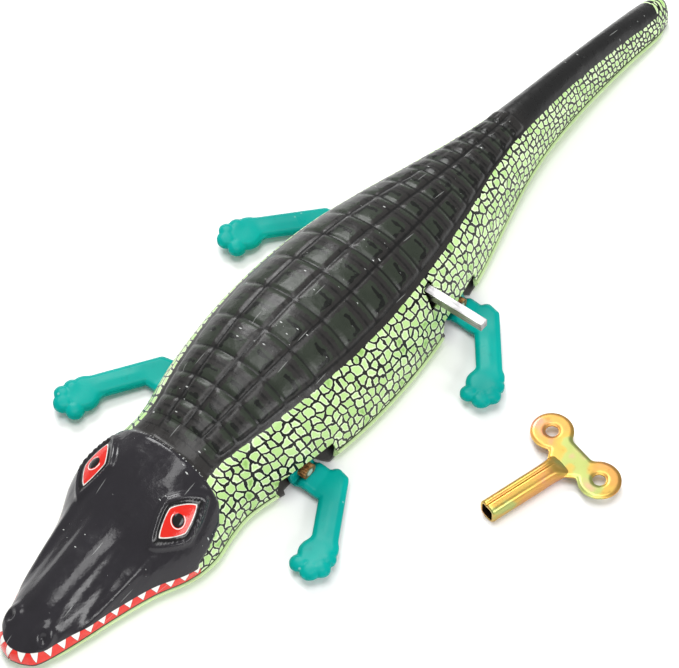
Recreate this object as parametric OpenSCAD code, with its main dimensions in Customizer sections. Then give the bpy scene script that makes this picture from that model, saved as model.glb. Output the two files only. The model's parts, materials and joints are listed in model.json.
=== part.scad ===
// Walking tin reptile with a clockwork movement, and its loose winding key.
// +X is forward (nose), +Y is the animal's left, +Z is up.
// The flat of the belly plate rests on z = 0.

/* [Tin body] */
// Thickness of the pressed tin
shell_t = 0.4; // [0.3:0.05:0.6]
// Height of the leg notches above the rest plane
notch_z = 7.2; // [6.8:0.1:8]
// Half length of each leg notch
notch_half = 8.2; // [7.6:0.1:10]
// Height of the slot for the winding square
slot_h = 5.8; // [5:0.1:7]
// Width of the slot for the winding square
slot_w = 3.4; // [3.2:0.1:4]

/* [Axles and legs] */
// Position of the front axle
front_x = 45.2; // [44:0.2:46]
// Position of the rear axle
rear_x = -12; // [-13:0.2:-11]
// Height of both axles
axle_z = 4.4; // [4.2:0.1:4.6]
// Radius of the axle rods
axle_r = 1.2; // [1:0.1:1.4]
// Radius of the leg hub
hub_r = 3.4; // [3:0.1:3.6]
// Thickness of the leg tin
leg_t = 0.8; // [0.6:0.1:0.9]
// Width of a shank
shank_w = 5.9; // [5.2:0.1:6.8]
// Outward splay of the front legs
front_splay = 31; // [24:1:36]
// Outward splay of the rear legs
rear_splay = 39; // [32:1:44]
// Upward slope of the legs from the hub outwards
leg_rise = 5; // [0:0.5:7]

/* [Movement] */
// Position of the winding arbor
arbor_x = -2.3; // [-2.8:0.1:-1.8]
// Height of the winding arbor
arbor_z = 17.8; // [17.4:0.1:18]
// Radius of the winding arbor's round part
arbor_r = 1.5; // [1.4:0.05:1.6]
// Across flats of the winding square
square_af = 2.1; // [1.9:0.05:2.1]
// Far end of the winding square
square_end = 31.9; // [28:0.1:34]
// Module of all the gears
gear_m = 0.5; // [0.5:0.01:0.5]
// Teeth of the great wheel and of the second wheel
wheel_n = 32; // [32:1:32]
// Teeth of the third wheel
third_n = 30; // [30:1:30]
// Teeth of each pinion
pinion_n = 12; // [12:1:12]
// Throw of the crank pin
crank_e = 1.85; // [1.6:0.05:1.9]
// Inner face of each movement plate from the middle
plate_y = 8.4; // [8.2:0.1:8.6]
// Thickness of the movement plates
plate_t = 0.6; // [0.5:0.1:0.8]

/* [Winding key] */
// Middle of the key's bow on the floor, forward
key_x = 4.6; // [-10:1:40]
// Middle of the key's bow on the floor, sideways
key_y = 62.8; // [55:0.5:80]
// Heading of the key's stem
key_turn = -15; // [-40:1:40]
// Outer radius of the rolled stem
key_r = 2.5; // [2.4:0.1:3]
// Spacing of the two holes in the bow
key_pitch = 16.4; // [15:0.2:18]
// Thickness of the key's sheet
key_t = 1; // [0.8:0.1:1.2]

/* [Hidden] */

fit = 0.05;
press = 0.02;
fine = 48;

// Body stations from nose to tail: [x, half width, height, height of the lower edge, height of the belly]
stations = [
    [120, 0.3, 2.4, 2.4, 1.6], [119, 3.4, 3.4, 2.4, 1.3], [116.5, 6.0, 4.6, 2.5, 1.0],
    [108, 8.7, 8.0, 2.7, 0.7], [99, 11.0, 9.8, 2.9, 0.4], [90, 13.7, 11.6, 3, 0.1],
    [82, 17.2, 14.4, 3, 0], [75, 18.2, 16.8, 3, 0], [67, 16.8, 18.7, 3, 0],
    [60, 16.6, 20.4, 3, 0], [48, 19.3, 23.6, 3, 0], [36, 21.0, 25.8, 3, 0],
    [25, 21.8, 26.6, 3, 0], [12, 21.6, 26.4, 3, 0], [0, 20.4, 25.6, 3, 0],
    [-12, 18.2, 23.6, 3, 0], [-25, 15.2, 20.8, 3.1, 0.4], [-38, 11.6, 18.2, 3.6, 1.4],
    [-50, 8.4, 16.4, 4.1, 2.2], [-62, 6.2, 15.2, 4.5, 2.8], [-75, 5.0, 13.8, 4.4, 2.9],
    [-88, 4.4, 12.0, 3.8, 2.3], [-100, 4.2, 10.1, 3.1, 1.6], [-112, 4.3, 7.6, 2.1, 0.8],
    [-118, 3.2, 6.0, 1.8, 0.8], [-120, 0.3, 4.2, 1.8, 1.2]];
last = len(stations) - 1;
// Roundness of the body's cross section
section_n = 2.2;
section_steps = 16;

function at(k) = stations[min(max(k, 0), last)];
// Smooth curve through the stations, u counts stations from the nose
function body(u) = let (k = min(floor(u), last - 1), s = u - k)
    0.5 * (2 * at(k) + s * (at(k + 1) - at(k - 1))
    + s * s * (2 * at(k - 1) - 5 * at(k) + 4 * at(k + 1) - at(k + 2))
    + s * s * s * (-at(k - 1) + 3 * at(k) - 3 * at(k + 1) + at(k + 2)));
// Station number at a given x, by halving
function find_u(x, lo = 0, hi = last, n = 18) = let (mid = (lo + hi) / 2)
    n == 0 ? mid : body(mid)[0] > x ? find_u(x, mid, hi, n - 1) : find_u(x, lo, mid, n - 1);

corner = 0.25;
notch_xs = [front_x + notch_half, front_x - notch_half, rear_x + notch_half, rear_x - notch_half];
notch_us = [for (x = notch_xs) for (s = [corner, -corner]) find_u(x + s)];
function in_notch(u) = (u > notch_us[0] && u < notch_us[3]) || (u > notch_us[4] && u < notch_us[7]);
plain_us = [for (k = [0 : 0.5 : last]) if (min([for (v = notch_us) abs(v - k)]) > 0.06) k];
function sorted(v) = len(v) < 2 ? v : let (p = v[floor(len(v) / 2)])
    concat(sorted([for (a = v) if (a < p) a]), [for (a = v) if (a == p) a],
        sorted([for (a = v) if (a > p) a]));
rows = sorted(concat(plain_us, notch_us));

function pow_s(v, n) = sign(v) * pow(abs(v), 2 / n);
// One ring of the shell, inset by d from the tin's outside
function shell_ring(u, d) = let (
    b = body(u),
    w = max(b[1] - d, 0.05),
    h = b[2] - d,
    edge = in_notch(u) ? notch_z : b[3],
    a0 = asin(pow(max(edge - b[3], 0) / h, section_n / 2)))
    [for (j = [0 : section_steps]) let (a = a0 + (180 - 2 * a0) * j / section_steps)
        [b[0] * (120 - d) / 120, w * pow_s(cos(a), section_n), b[3] + h * pow_s(sin(a), section_n)]];

rim_gap = 0.1;
rim_lap = 0.6;
// How far the pan stays inside the leg hubs
hub_gap = 0.5;
belly_n = 3.4;
// One ring of the belly pan, inset by d from its outside
function belly_ring(u, d) = let (
    b = body(u),
    full = max(b[1] - shell_t - rim_gap - d, 0.05),
    hub_y = b[0] > 0 ? front_hub_y : rear_hub_y,
    w = in_notch(u) ? min(full, hub_y - hub_gap - d) : full,
    top = in_notch(u) ? b[3] - 0.4 : b[3] + rim_lap,
    deep = top - b[4] - d)
    [for (j = [0 : section_steps]) let (a = 180 * j / section_steps)
        [b[0] * (119.4 - d) / 120, w * pow_s(cos(a), belly_n),
            top - min(deep, 1.04 * deep * pow_s(sin(a), belly_n))]];

// Closed thin sheet between two grids of rings, given from nose to tail
module sheet(outer, inner, flip = false) {
    n = len(outer);
    m = len(outer[0]);
    points = concat([for (r = outer) for (p = r) p], [for (r = inner) for (p = r) p]);
    base = n * m;
    skin = [for (i = [0 : n - 2]) for (j = [0 : m - 2]) for (k = [0, 1]) let (a = i * m + j)
        k == 0 ? [a, a + 1, a + m + 1] : [a, a + m + 1, a + m]];
    lining = [for (f = skin) [f[2] + base, f[1] + base, f[0] + base]];
    sides = [for (i = [0 : n - 2]) for (k = [0, 1]) let (a = i * m, c = a + m)
        k == 0 ? [a, c, c + base] : [a, c + base, a + base]];
    sides2 = [for (i = [0 : n - 2]) for (k = [0, 1]) let (a = i * m + m - 1, c = a + m)
        k == 0 ? [c, a, a + base] : [c, a + base, c + base]];
    ends = [for (j = [0 : m - 2]) for (k = [0, 1])
        k == 0 ? [j + 1, j, j + base] : [j + 1, j + base, j + 1 + base]];
    far = (n - 1) * m;
    ends2 = [for (j = [0 : m - 2]) for (k = [0, 1]) let (a = far + j)
        k == 0 ? [a, a + 1, a + 1 + base] : [a, a + 1 + base, a + base]];
    faces = concat(skin, lining, sides, sides2, ends, ends2);
    polyhedron(points, flip ? [for (f = faces) [f[2], f[1], f[0]]] : faces);
}

// Flat work standing in the XZ plane, from y to y + t
module plate_at(y, t) {
    translate([0, y + t, 0]) rotate([90, 0, 0]) linear_extrude(height = t) children();
}

// Round bar along Y
module bar(x, z, y0, y1, r) {
    translate([x, y0, z]) rotate([-90, 0, 0]) cylinder(h = y1 - y0, r = r, $fn = fine);
}

// Gear train: centres and the directions between them
pressure = 25;
slack = 0.12;
add_k = 0.8;
ded_k = 1.1;
ab_dir = -10;
bc_dir = -30;
cd_dir = 20;
ab_c = gear_m * (wheel_n + pinion_n) / 2;
cd_c = gear_m * (third_n + pinion_n) / 2;
second_x = arbor_x + ab_c * cos(ab_dir);
second_z = arbor_z + ab_c * sin(ab_dir);
crank_x = second_x + ab_c * cos(bc_dir);
crank_z = second_z + ab_c * sin(bc_dir);
escape_x = crank_x + cd_c * cos(cd_dir);
escape_z = crank_z + cd_c * sin(cd_dir);
escape_tip = 4.6;
verge_c = 7.2;
verge_dir = 12;
verge_x = escape_x + verge_c * cos(verge_dir);
verge_z = escape_z + verge_c * sin(verge_dir);
train_r = 0.9;
verge_r = 0.6;
rocker_len = crank_z - axle_z;

function inv(a) = tan(a) - a * PI / 180;
// Half the angle of a tooth at radius r
function tooth_a(n, r) = let (rp = gear_m * n / 2, rb = rp * cos(pressure), q = max(r, rb))
    90 / n - (slack / 4 / rp + inv(acos(rb / q)) - inv(pressure)) * 180 / PI;
module gear(n, phase, hole) {
    rp = gear_m * n / 2;
    tip = rp + add_k * gear_m;
    root = rp - ded_k * gear_m;
    steps = 4;
    radii = [for (i = [0 : steps]) root + (tip - root) * i / steps];
    flank = [for (r = radii) [r, tooth_a(n, r)]];
    difference() {
        polygon([for (k = [0 : n - 1]) for (side = [-1, 1]) for (i = [0 : steps])
            let (f = flank[side < 0 ? i : steps - i], a = phase + 360 * k / n + side * f[1])
            [f[0] * cos(a), f[0] * sin(a)]]);
        circle(r = hole, $fn = fine);
    }
}
// Place flat work on an arbor
module on(x, z, y, t) {
    translate([x, 0, z]) plate_at(y, t) children();
}

pinion_mesh_ab = ab_dir + 180 + 180 / pinion_n;
pinion_mesh_bc = bc_dir + 180 + 180 / pinion_n;
pinion_mesh_cd = cd_dir + 180 + 180 / pinion_n;

// How far the slot reaches above the winding arbor
slot_over = 2.1;
// Pressed upper shell with its leg notches and the slot for the winding square
module upper_shell() {
    color([0.1, 0.12, 0.1]) difference() {
        sheet([for (u = rows) shell_ring(u, 0)], [for (u = rows) shell_ring(u, shell_t)], true);
        translate([arbor_x - slot_w / 2, 12, arbor_z + slot_over - slot_h])
            cube([slot_w, 12, slot_h]);
    }
}

rivet_xs = [8, 32];
rivet_y = plate_y + plate_t + 1.8;
rivet_r = 0.8;
// Pressed belly pan, with the holes for the movement's rivets
module belly_plate() {
    color([0.75, 0.9, 0.6]) difference() {
        sheet([for (u = rows) belly_ring(u, 0)], [for (u = rows) belly_ring(u, shell_t)]);
        for (x = rivet_xs) for (s = [-1, 1])
            translate([x, s * rivet_y, -1]) cylinder(h = 3, r = rivet_r, $fn = fine);
    }
}

plate_low = 0.6;
outline = [[-17, 2], [50, 2], [50, 9], [41, 18], [30, 22], [6, 25.6], [-10, 23.6], [-17, 18]];
pillar_spots = [[-14, 17], [-8, 4.6], [38, 14.5], [30, 4.2]];
pillar_r = 1.1;
pillar_end = 0.8;
module plate_flat() {
    difference() {
        polygon(outline);
        for (x = [front_x, rear_x]) translate([x, axle_z]) circle(r = axle_r + fit, $fn = fine);
        translate([arbor_x, arbor_z]) circle(r = arbor_r + fit, $fn = fine);
        translate([second_x, second_z]) circle(r = train_r + fit, $fn = fine);
        translate([crank_x, crank_z]) circle(r = train_r + fit, $fn = fine);
        translate([escape_x, escape_z]) circle(r = train_r + fit, $fn = fine);
        translate([verge_x, verge_z]) circle(r = verge_r + fit, $fn = fine);
        for (p = pillar_spots) translate(p) circle(r = pillar_end + press, $fn = fine);
    }
}
foot = 5;
// Movement plate with two feet turned out along its lower edge
module movement_plate() {
    plate_at(plate_y, plate_t) plate_flat();
    for (x = rivet_xs) difference() {
        union() {
            translate([x - foot / 2, plate_y, plate_low]) cube([foot, plate_t, 2.6]);
            translate([x - foot / 2, plate_y, plate_low]) cube([foot, plate_t + 3, plate_t]);
        }
        translate([x, rivet_y, -1]) cylinder(h = 4, r = rivet_r, $fn = fine);
    }
}
module left_plate() {
    color("silver") movement_plate();
}
module right_plate() {
    color("silver") mirror([0, 1, 0]) movement_plate();
}

// Four shouldered pillars riveted between the plates
module plate_pillars() {
    out = plate_y + plate_t + 0.3;
    color("gray") for (p = pillar_spots) {
        bar(p[0], p[1], -plate_y, plate_y, pillar_r);
        bar(p[0], p[1], -out, out, pillar_end);
    }
}

// Flush rivets that hold the movement to the belly
module movement_rivets() {
    color("silver") for (x = rivet_xs) for (s = [-1, 1]) translate([x, s * rivet_y, 0]) {
        translate([0, 0, 0.02]) cylinder(h = 1.4, r = rivet_r - press, $fn = fine);
        translate([0, 0, plate_low + plate_t + 0.02]) cylinder(h = 0.5, r = 1.3, $fn = fine);
    }
}

spring_y = -6.9;
spring_w = 6.3;
spring_turns = 7;
spring_in = 1.8;
spring_out = 7.8;
spring_t = 0.3;
spring_n = 24;
function coil(k, d) = let (a = 360 * k / spring_n,
    r = spring_in + (spring_out - spring_in) * k / (spring_n * spring_turns) + d) [r * cos(a), r * sin(a)];
// Spiral mainspring, with its outer end hooked towards the rear upper pillar
module mainspring() {
    color("steelblue") on(arbor_x, arbor_z, spring_y, spring_w) polygon(concat(
        [for (k = [0 : spring_n * spring_turns]) coil(k, 0)],
        [for (k = [spring_n * spring_turns : -1 : 0]) coil(k, spring_t)]));
}

great_y = 2;
wheel_t = 0.8;
click_c = 6.4;
click_dir = 115;
click_x = arbor_x + click_c * cos(click_dir);
click_z = arbor_z + click_c * sin(click_dir);
click_r = 0.5;
module great_wheel() {
    color("gold") on(arbor_x, arbor_z, great_y, wheel_t) difference() {
        gear(wheel_n, ab_dir, arbor_r + fit);
        rotate(click_dir) translate([click_c, 0]) circle(r = click_r + press, $fn = fine);
    }
}
module click_rivet() {
    color("silver") {
        bar(click_x, click_z, great_y - 1.35, great_y + wheel_t + 0.2, click_r);
        bar(click_x, click_z, great_y - 1.55, great_y - 1.35, click_r + 0.4);
    }
}
// Flat spring bent over the click, with its foot soldered on the great wheel
module click_spring() {
    color("steelblue") on(arbor_x, arbor_z, great_y - 1.1, 1.1) rotate(click_dir) {
        translate([4.4, -5.1]) square([0.8, 1.2]);
    }
}

ratchet_n = 14;
ratchet_tip = 4.2;
ratchet_root = 3.2;
ratchet_y = 0.9;
// Arbor with its round part in the plates and its square outside the body
module winding_arbor() {
    color("silver") {
        bar(arbor_x, arbor_z, -(plate_y + plate_t + 0.6), plate_y + plate_t + 0.6, arbor_r);
        translate([arbor_x - square_af / 2, plate_y + plate_t + 0.6, arbor_z - square_af / 2])
            cube([square_af, square_end - plate_y - plate_t - 0.6, square_af]);
    }
}
module ratchet_wheel() {
    color("silver") on(arbor_x, arbor_z, ratchet_y, wheel_t) difference() {
        polygon([for (k = [0 : ratchet_n - 1]) for (s = [0, 1]) let (a = 360 * (k + s * 0.06) / ratchet_n + 8,
            r = s == 0 ? ratchet_root : ratchet_tip) [r * cos(a), r * sin(a)]]);
        circle(r = arbor_r + press, $fn = fine);
    }
}
// Pawl, drawn lifted clear of the ratchet's tips
module click() {
    color("gray") translate([click_x, 0, click_z]) plate_at(ratchet_y + 0.05, wheel_t - 0.1)
        rotate(click_dir) difference() {
            union() {
                circle(r = 1.1, $fn = fine);
                polygon([[-1.1, 0], [-1.95, -3.2], [-1.2, -3.7], [0.6, -0.9]]);
            }
            circle(r = click_r + fit, $fn = fine);
        }
}

second_y = 4.2;
module second_arbor() {
    color("silver") {
        bar(second_x, second_z, -(plate_y + plate_t + 0.2), plate_y + plate_t + 0.2, train_r);
        on(second_x, second_z, great_y - 0.3, wheel_t + 0.6) gear(pinion_n, pinion_mesh_ab, train_r - 0.1);
    }
}
module second_wheel() {
    color("gold") on(second_x, second_z, second_y, wheel_t) gear(wheel_n, bc_dir, train_r + press);
}

third_y = -1.4;
crank_y = plate_y + plate_t + 0.3;
crank_t = 0.8;
rod_y = crank_y + crank_t + 1;
rod_t = 0.6;
pin_gap = 0.2;
pin_r = 0.6;
module crank_arbor() {
    color("silver") {
        bar(crank_x, crank_z, -(plate_y + plate_t + 0.2), crank_y + crank_t, train_r);
        on(crank_x, crank_z, second_y - 0.3, wheel_t + 0.6) gear(pinion_n, pinion_mesh_bc, train_r - 0.1);
    }
}
module third_wheel() {
    color("gold") on(crank_x, crank_z, third_y, wheel_t) gear(third_n, cd_dir, train_r + press);
}
module crank_disc() {
    color("silver") on(crank_x, crank_z, crank_y, crank_t) difference() {
        circle(r = 3.2, $fn = fine);
        circle(r = train_r + press, $fn = fine);
        translate([0, crank_e]) circle(r = pin_r + press, $fn = fine);
    }
}
module crank_pin() {
    color("silver") bar(crank_x, crank_z + crank_e, crank_y, rod_y - pin_gap, pin_r);
}

escape_y = -4.4;
escape_n = 13;
module escape_arbor() {
    color("silver") {
        bar(escape_x, escape_z, -(plate_y + plate_t + 0.2), plate_y + plate_t + 0.2, train_r);
        on(escape_x, escape_z, third_y - 0.3, wheel_t + 0.6) gear(pinion_n, pinion_mesh_cd, train_r - 0.1);
    }
}
module escape_wheel() {
    color("gold") on(escape_x, escape_z, escape_y, 0.6) difference() {
        polygon([for (k = [0 : escape_n - 1]) for (s = [0, 1, 2])
            let (a = 360 * (k + [0, 0.42, 0.55][s]) / escape_n,
            r = [3, escape_tip, escape_tip][s]) [r * cos(a), r * sin(a)]]);
        circle(r = train_r + press, $fn = fine);
    }
}
pallet_r = 0.35;
pallet_out = 1.1;
pallet_half = 42;
function pallet(s) = [(escape_tip + pallet_out) * cos(verge_dir + s * pallet_half),
    (escape_tip + pallet_out) * sin(verge_dir + s * pallet_half)];
module verge_arbor() {
    color("silver") bar(verge_x, verge_z, -(plate_y + plate_t + 0.2), plate_y + plate_t + 0.2, verge_r);
}
// Rocking plate that carries the two pallet pins
module verge_plate() {
    color("gray") on(escape_x, escape_z, escape_y - 1.3, 0.8) difference() {
        union() {
            for (s = [-1, 1]) hull() {
                translate(pallet(s)) circle(r = 0.8, $fn = 32);
                rotate(verge_dir) translate([verge_c, 0]) circle(r = 1.4, $fn = 32);
            }
        }
        rotate(verge_dir) translate([verge_c, 0]) circle(r = verge_r + press, $fn = fine);
        for (s = [-1, 1]) translate(pallet(s)) circle(r = pallet_r + press, $fn = fine);
    }
}
module pallet_pins() {
    color("silver") for (s = [-1, 1])
        bar(escape_x + pallet(s)[0], escape_z + pallet(s)[1], escape_y - 1.3, escape_y + 0.9, pallet_r);
}

front_hub_y = 17.6;
rear_hub_y = 15.9;
hub_t = 0.6;
knurl_n = 18;
knurl_r = 1.9;
knurl_len = 2.2;
// Axle rod with a knurled button outside each leg hub
module axle(x, hub_y) {
    out = hub_y + hub_t;
    bar(x, axle_z, -out, out, axle_r);
    for (s = [0, 1]) mirror([0, s, 0]) translate([x, 0, axle_z]) plate_at(out, knurl_len)
        polygon([for (k = [0 : 2 * knurl_n - 1])
            let (a = 180 * k / knurl_n, r = k % 2 == 0 ? knurl_r : knurl_r - 0.3)
            [r * cos(a), r * sin(a)]]);
}
// Arm pressed on the axle, reaching up to the coupling rod
rocker_t = 0.8;
rocker_y = rod_y + rod_t + 0.15;
module rocker(x) {
    translate([x, 0, axle_z]) plate_at(rocker_y, rocker_t) difference() {
        union() {
            circle(r = 2.4, $fn = fine);
            translate([0, rocker_len]) circle(r = 1.5, $fn = fine);
            translate([-1.4, 0]) square([2.8, rocker_len]);
        }
        circle(r = axle_r + press, $fn = fine);
        translate([0, rocker_len]) circle(r = pin_r + press, $fn = fine);
    }
}
module rod_pin(x) {
    bar(x, axle_z + rocker_len, rod_y - 0.1, rocker_y + rocker_t, pin_r);
    bar(x, axle_z + rocker_len, rod_y - 0.4, rod_y - 0.1, pin_r + 0.4);
}

leg_z = 1.9;
shank_len = 18;
elbow_x = -5.8;
elbow_out = 9.2;
crease_in = 6;
root_front = 2.2;
root_rear = -4.2;
// Toe lobes measured from the shank's outer end: [along, across, radius]
toes = [[6, -7.7, 2.1], [7.9, -5, 2.3], [7.3, -2.6, 2], [4.7, -1.7, 2], [2.4, -1.8, 2.2], [3.2, -4.4, 4]];
module leg(x, hub_y, splay) {
    dir = [cos(splay), sin(splay)];
    side = [-sin(splay), cos(splay)];
    elbow = [x + elbow_x, hub_y + elbow_out];
    inner = elbow - shank_w * side;
    tip = elbow + shank_len * dir;
    translate([x, 0, axle_z]) plate_at(hub_y, hub_t) difference() {
        circle(r = hub_r, $fn = fine);
        circle(r = axle_r + press, $fn = fine);
    }
    translate([0, hub_y, leg_z]) rotate([leg_rise, 0, 0]) translate([0, -hub_y, -leg_t / 2])
        linear_extrude(height = leg_t) {
        polygon([[x + root_front, hub_y], [x + root_front + 0.3, hub_y + crease_in], inner + 7 * dir,
            inner + shank_len * dir, tip, elbow + 1.2 * dir, elbow + [0.2, -1],
            [x + root_rear, hub_y + crease_in],
            [x - 2.6, hub_y]]);
        for (t = toes) translate(tip + t[0] * dir + t[1] * side) circle(r = t[2], $fn = fine);
    }
}
module mirrored() {
    mirror([0, 1, 0]) children();
}
module front_axle() {
    color("tan") axle(front_x, front_hub_y);
}
module rear_axle() {
    color("tan") axle(rear_x, rear_hub_y);
}
module front_rocker() {
    color("gray") rocker(front_x);
}
module rear_rocker() {
    color("gray") rocker(rear_x);
}
module front_rod_pin() {
    color("silver") rod_pin(front_x);
}
module rear_rod_pin() {
    color("silver") rod_pin(rear_x);
}
module front_left_leg() {
    color("lightseagreen") leg(front_x, front_hub_y, front_splay);
}
module front_right_leg() {
    color("lightseagreen") mirrored() leg(front_x, front_hub_y, front_splay);
}
module rear_left_leg() {
    color("lightseagreen") leg(rear_x, rear_hub_y, rear_splay);
}
module rear_right_leg() {
    color("lightseagreen") mirrored() leg(rear_x, rear_hub_y, rear_splay);
}

yoke_w = 3.4;
yoke_h = 7;
// Rod that ties the two rockers, with an upright yoke slot for the crank pin
module coupling_rod() {
    color("silver") plate_at(rod_y, rod_t) difference() {
        union() {
            translate([rear_x, crank_z - 1.1]) square([front_x - rear_x, 2.2]);
            for (x = [rear_x, front_x]) translate([x, crank_z]) circle(r = 1.6, $fn = fine);
            translate([crank_x - yoke_w, crank_z - yoke_h / 2 - 1]) square([2 * yoke_w, yoke_h + 2]);
        }
        for (x = [rear_x, front_x]) translate([x, crank_z]) circle(r = pin_r + fit, $fn = fine);
        translate([crank_x - pin_r - 0.1, crank_z - yoke_h / 2]) square([2 * pin_r + 0.2, yoke_h]);
    }
}

bow_r = 4.9;
hole_r = 1.5;
stem_near = 3;
stem_far = 24.8;
socket = 2.25;
socket_deep = 14;
// Pressed key: flat two-lobed bow and a rolled stem with a square socket
module winding_key() {
    color("goldenrod") translate([key_x, key_y, key_r]) rotate(key_turn) {
        difference() {
            union() {
                translate([stem_near, 0, 0]) rotate([0, 90, 0])
                    cylinder(h = stem_far - stem_near, r = key_r, $fn = fine);
                translate([0, 0, -key_t / 2]) linear_extrude(height = key_t) {
                    for (s = [-1, 1]) translate([0, s * key_pitch / 2]) circle(r = bow_r, $fn = fine);
                    polygon([[-2.2, -5.4], [-2.2, 5.4], [2, 6], [7, 2.4], [7, -2.4], [2, -6]]);
                }
            }
            for (s = [-1, 1]) translate([0, s * key_pitch / 2, -key_t])
                cylinder(h = 2 * key_t, r = hole_r, $fn = fine);
            translate([stem_far - socket_deep, -socket / 2, -socket / 2])
                cube([socket_deep + 1, socket, socket]);
        }
    }
}

upper_shell();
belly_plate();
left_plate();
right_plate();
plate_pillars();
movement_rivets();
mainspring();
great_wheel();
click_rivet();
click_spring();
winding_arbor();
ratchet_wheel();
click();
second_arbor();
second_wheel();
crank_arbor();
third_wheel();
crank_disc();
crank_pin();
escape_arbor();
escape_wheel();
verge_arbor();
verge_plate();
pallet_pins();
front_axle();
front_rocker();
front_rod_pin();
front_left_leg();
front_right_leg();
rear_axle();
rear_rocker();
rear_rod_pin();
rear_left_leg();
rear_right_leg();
coupling_rod();
winding_key();
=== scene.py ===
"""Looks for the wind-up tin reptile and its key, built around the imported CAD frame.

Lengths in this file are millimetres in the frame's axes until mesh_piece() turns them into metres.
"""

import json
import math

import bpy
import numpy as np
from mathutils import Matrix, Vector


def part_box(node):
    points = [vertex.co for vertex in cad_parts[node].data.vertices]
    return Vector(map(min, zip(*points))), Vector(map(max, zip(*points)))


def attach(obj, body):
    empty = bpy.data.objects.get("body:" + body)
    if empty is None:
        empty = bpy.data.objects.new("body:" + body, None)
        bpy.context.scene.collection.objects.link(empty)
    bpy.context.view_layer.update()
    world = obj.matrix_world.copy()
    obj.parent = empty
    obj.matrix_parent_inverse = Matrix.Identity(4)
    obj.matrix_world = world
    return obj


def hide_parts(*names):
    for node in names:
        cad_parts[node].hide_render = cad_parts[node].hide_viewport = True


MM = 0.001
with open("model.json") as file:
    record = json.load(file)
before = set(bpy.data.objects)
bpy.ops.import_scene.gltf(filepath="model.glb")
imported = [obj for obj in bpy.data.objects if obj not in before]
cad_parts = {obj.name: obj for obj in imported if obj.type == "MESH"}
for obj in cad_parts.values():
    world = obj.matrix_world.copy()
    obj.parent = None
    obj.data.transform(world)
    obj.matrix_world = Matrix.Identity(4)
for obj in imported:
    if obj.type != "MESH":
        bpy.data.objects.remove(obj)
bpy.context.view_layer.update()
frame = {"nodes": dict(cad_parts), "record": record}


def box_mm(node):
    low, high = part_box(node)
    return np.array(low) / MM, np.array(high) / MM


# ---------------------------------------------------------------- body form

# [x, half width, height, shell's lower edge z, belly z], nose to tail tip
STATIONS = np.array([
    [120, 0.3, 2.4, 2.4, 1.6], [119, 3.4, 3.4, 2.4, 1.3], [116.5, 6, 4.6, 2.5, 1], [108, 8.7, 8, 2.7, 0.7],
    [99, 11, 9.8, 2.9, 0.4], [90, 13.7, 11.6, 3, 0.1], [82, 17.2, 14.4, 3, 0], [75, 18.2, 16.8, 3, 0],
    [67, 16.8, 18.7, 3, 0], [60, 16.6, 20.4, 3, 0], [48, 19.3, 23.6, 3, 0], [36, 21, 25.8, 3, 0],
    [25, 21.8, 26.6, 3, 0], [12, 21.6, 26.4, 3, 0], [0, 20.4, 25.6, 3, 0], [-12, 18.2, 23.6, 3, 0],
    [-25, 15.2, 20.8, 3.1, 0.4], [-38, 11.6, 18.2, 3.6, 1.4], [-50, 8.4, 16.4, 4.1, 2.2],
    [-62, 6.2, 15.2, 4.5, 2.8], [-75, 5, 13.8, 4.4, 2.9], [-88, 4.4, 12, 3.8, 2.3],
    [-100, 4.2, 10.1, 3.1, 1.6], [-112, 4.3, 7.6, 2.1, 0.8], [-118, 3.2, 6, 1.8, 0.8],
    [-120, 0.3, 4.2, 1.8, 1.2]])
HALF_LENGTH, TAIL_TIP = 120, 114
ROUND = 2 / 2.2
BELLY_ROUND = 2 / 3.4
SHELL_T = 0.4
NOTCH_Z, NOTCH_HALF, NOTCH_CORNER = 7.2, 8.2, 1.2
NOTCH_LIP, HUB_GAP, LEG_SWING = 0.5, 0.5, 5.9

axle_low, axle_high = box_mm("front_axle")
FRONT_X = (axle_low[0] + axle_high[0]) / 2
AXLE_Z = (axle_low[2] + axle_high[2]) / 2
axle_low, axle_high = box_mm("rear_axle")
REAR_X = (axle_low[0] + axle_high[0]) / 2
arbor_low, arbor_high = box_mm("winding_arbor")


def spline(u):
    """Catmull-Rom through the stations."""
    last = len(STATIONS) - 1
    k = np.minimum(np.floor(u), last - 1).astype(int)
    f = (u - k)[:, None]
    a, b, c, d = (STATIONS[np.clip(k + i, 0, last)] for i in (-1, 0, 1, 2))
    return 0.5 * (2 * b + f * (c - a) + f**2 * (2 * a - 5 * b + 4 * c - d) + f**3 * (3 * b - a - 3 * c + d))


FINE = spline(np.linspace(0, len(STATIONS) - 1, 6001))


def smooth(v, low, high):
    """0 below low, 1 above high, eased between."""
    f = np.clip((v - low) / (high - low), 0, 1)
    return f * f * (3 - 2 * f)


def curve(v, *points):
    """Value at v of the line through the points, given in rising order."""
    return np.interp(v, [p[0] for p in points], [p[1] for p in points])


def notch(x):
    """0 outside the leg notches, 1 inside them."""
    d = np.minimum(abs(x - FRONT_X), abs(x - REAR_X))
    return smooth(NOTCH_HALF - d, -NOTCH_CORNER / 2, NOTCH_CORNER / 2)


def row_places(gap):
    """Rows from nose to tail tip, gap(x) apart along the profile."""
    step = np.linalg.norm(np.diff(FINE[:, :3], axis=0), axis=1)
    run = np.concatenate([[0], np.cumsum(step / gap((FINE[1:, 0] + FINE[:-1, 0]) / 2))])
    n = int(run[-1])
    at = np.interp(np.linspace(0, run[-1], n), run, np.arange(len(FINE)))
    return np.stack([np.interp(at, np.arange(len(FINE)), FINE[:, i]) for i in range(5)], 1)


def section(row):
    """(arc length from the top, y, z) down one side of the shell's section."""
    t = np.linspace(math.pi / 2, 0, 400)
    y = row[1] * np.cos(t).clip(0) ** ROUND
    z = row[3] + row[2] * np.sin(t).clip(0) ** ROUND
    arc = np.concatenate([[0], np.cumsum(np.hypot(np.diff(y), np.diff(z)))])
    return arc, y, z


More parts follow.
